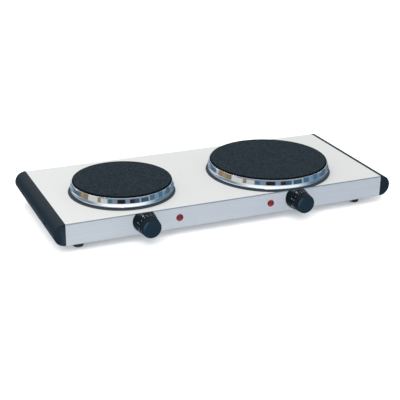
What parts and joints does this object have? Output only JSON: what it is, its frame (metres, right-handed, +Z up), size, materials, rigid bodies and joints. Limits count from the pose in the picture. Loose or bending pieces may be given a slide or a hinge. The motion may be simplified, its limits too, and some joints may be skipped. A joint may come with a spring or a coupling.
{
  "type": "double electric hot plate",
  "caption": "Free-standing double electric hot plate: folded steel housing with rounded black end caps, small and large cast-iron plates in bright rings, front knobs and red lamps.",
  "frame": {"origin": "on the surface it stands on, below the middle of the whole object's length and depth, knobs and gland included", "axes": "+X along the length, towards the large plate; the knobs face -Y; +Z up"},
  "size_m": [0.5284, 0.259, 0.0665],
  "materials": {
    "housing_steel": "satin stainless sheet, finely grained, near white on the deck",
    "zinc_steel": "zinc-plated sheet, dull",
    "screw_steel": "zinc-plated, machined",
    "cap_plastic": "black moulded plastic, fine spark grain",
    "foot_rubber": "matt black rubber",
    "cast_iron": "black heat-resistant coating on fine cast iron",
    "ring_chrome": "polished stainless spill ring",
    "seal_rubber": "black heat-resistant seal",
    "ceramic": "unglazed steatite",
    "coil_steel": "oxidised resistance wire",
    "knob_plastic": "black moulded plastic, satin",
    "brass": "turned brass",
    "red_lens": "clear red plastic, domed",
    "lamp_plastic": "white heat-resistant plastic",
    "bulb_glass": "neon lamp glass",
    "gland_plastic": "black nylon",
    "wire_brown": "silicone insulation",
    "wire_red": "silicone insulation",
    "wire_blue": "silicone insulation",
    "wire_green": "silicone insulation",
    "wire_white": "silicone insulation"
  },
  "bodies": {
    "base": {"top_housing": "housing_steel", "base_plate": "zinc_steel", "left_end_cap": "cap_plastic", "right_end_cap": "cap_plastic", "end_cap_screws": "screw_steel", "base_screws": "screw_steel", "front_left_foot": "foot_rubber", "front_right_foot": "foot_rubber", "rear_left_foot": "foot_rubber", "rear_right_foot": "foot_rubber", "foot_screws": "screw_steel", "foot_nuts": "screw_steel", "left_hotplate": "cast_iron", "right_hotplate": "cast_iron", "left_spill_ring": "ring_chrome", "right_spill_ring": "ring_chrome", "left_seal": "seal_rubber", "right_seal": "seal_rubber", "left_insulation": "ceramic", "right_insulation": "ceramic", "left_heating_coil": "coil_steel", "right_heating_coil": "coil_steel", "left_plate_cover": "zinc_steel", "right_plate_cover": "zinc_steel", "left_stud": "screw_steel", "right_stud": "screw_steel", "left_clamp_bridge": "zinc_steel", "right_clamp_bridge": "zinc_steel", "clamp_nuts": "screw_steel", "left_plate_terminal": "ceramic", "right_plate_terminal": "ceramic", "left_collar": "knob_plastic", "right_collar": "knob_plastic", "left_bush": "brass", "right_bush": "brass", "bush_nuts": "brass", "left_thermostat": "ceramic", "right_thermostat": "ceramic", "contact_blades": "brass", "left_lamp_lens": "red_lens", "right_lamp_lens": "red_lens", "left_lamp_tube": "lamp_plastic", "right_lamp_tube": "lamp_plastic", "neon_bulbs": "bulb_glass", "lamp_clips": "zinc_steel", "cord_gland": "gland_plastic", "gland_nut": "gland_plastic", "mains_terminal": "ceramic", "earth_stud": "brass", "live_wires": "wire_brown", "switched_wires": "wire_red", "neutral_wires": "wire_blue", "earth_wire": "wire_green", "lamp_wires": "wire_white"},
    "left_dial": {"left_knob": "knob_plastic", "left_spindle": "screw_steel"},
    "right_dial": {"right_knob": "knob_plastic", "right_spindle": "screw_steel"},
    "left_pin": {"left_pressure_pin": "ceramic"},
    "right_pin": {"right_pressure_pin": "ceramic"}
  },
  "joints": [
    {"name": "left_knob_turn", "type": "hinge", "parent": "base", "child": "left_dial", "pos_m": [-0.1353, -0.1185, 0.0362], "axis": [0, 1, 0], "range_deg": [0, 270]},
    {"name": "right_knob_turn", "type": "hinge", "parent": "base", "child": "right_dial", "pos_m": [0.1018, -0.1185, 0.0362], "axis": [0, 1, 0], "range_deg": [0, 270]},
    {"name": "left_pin_slide", "type": "slide", "parent": "base", "child": "left_pin", "axis": [0, 1, 0], "range_m": [0, 0.0006]},
    {"name": "right_pin_slide", "type": "slide", "parent": "base", "child": "right_pin", "axis": [0, 1, 0], "range_m": [0, 0.0006]}
  ],
  "couplings": [
    {"joint": "left_pin_slide", "follows": "left_knob_turn", "m_per_rad": 0.00011141},
    {"joint": "right_pin_slide", "follows": "right_knob_turn", "m_per_rad": 0.00011141}
  ]
}
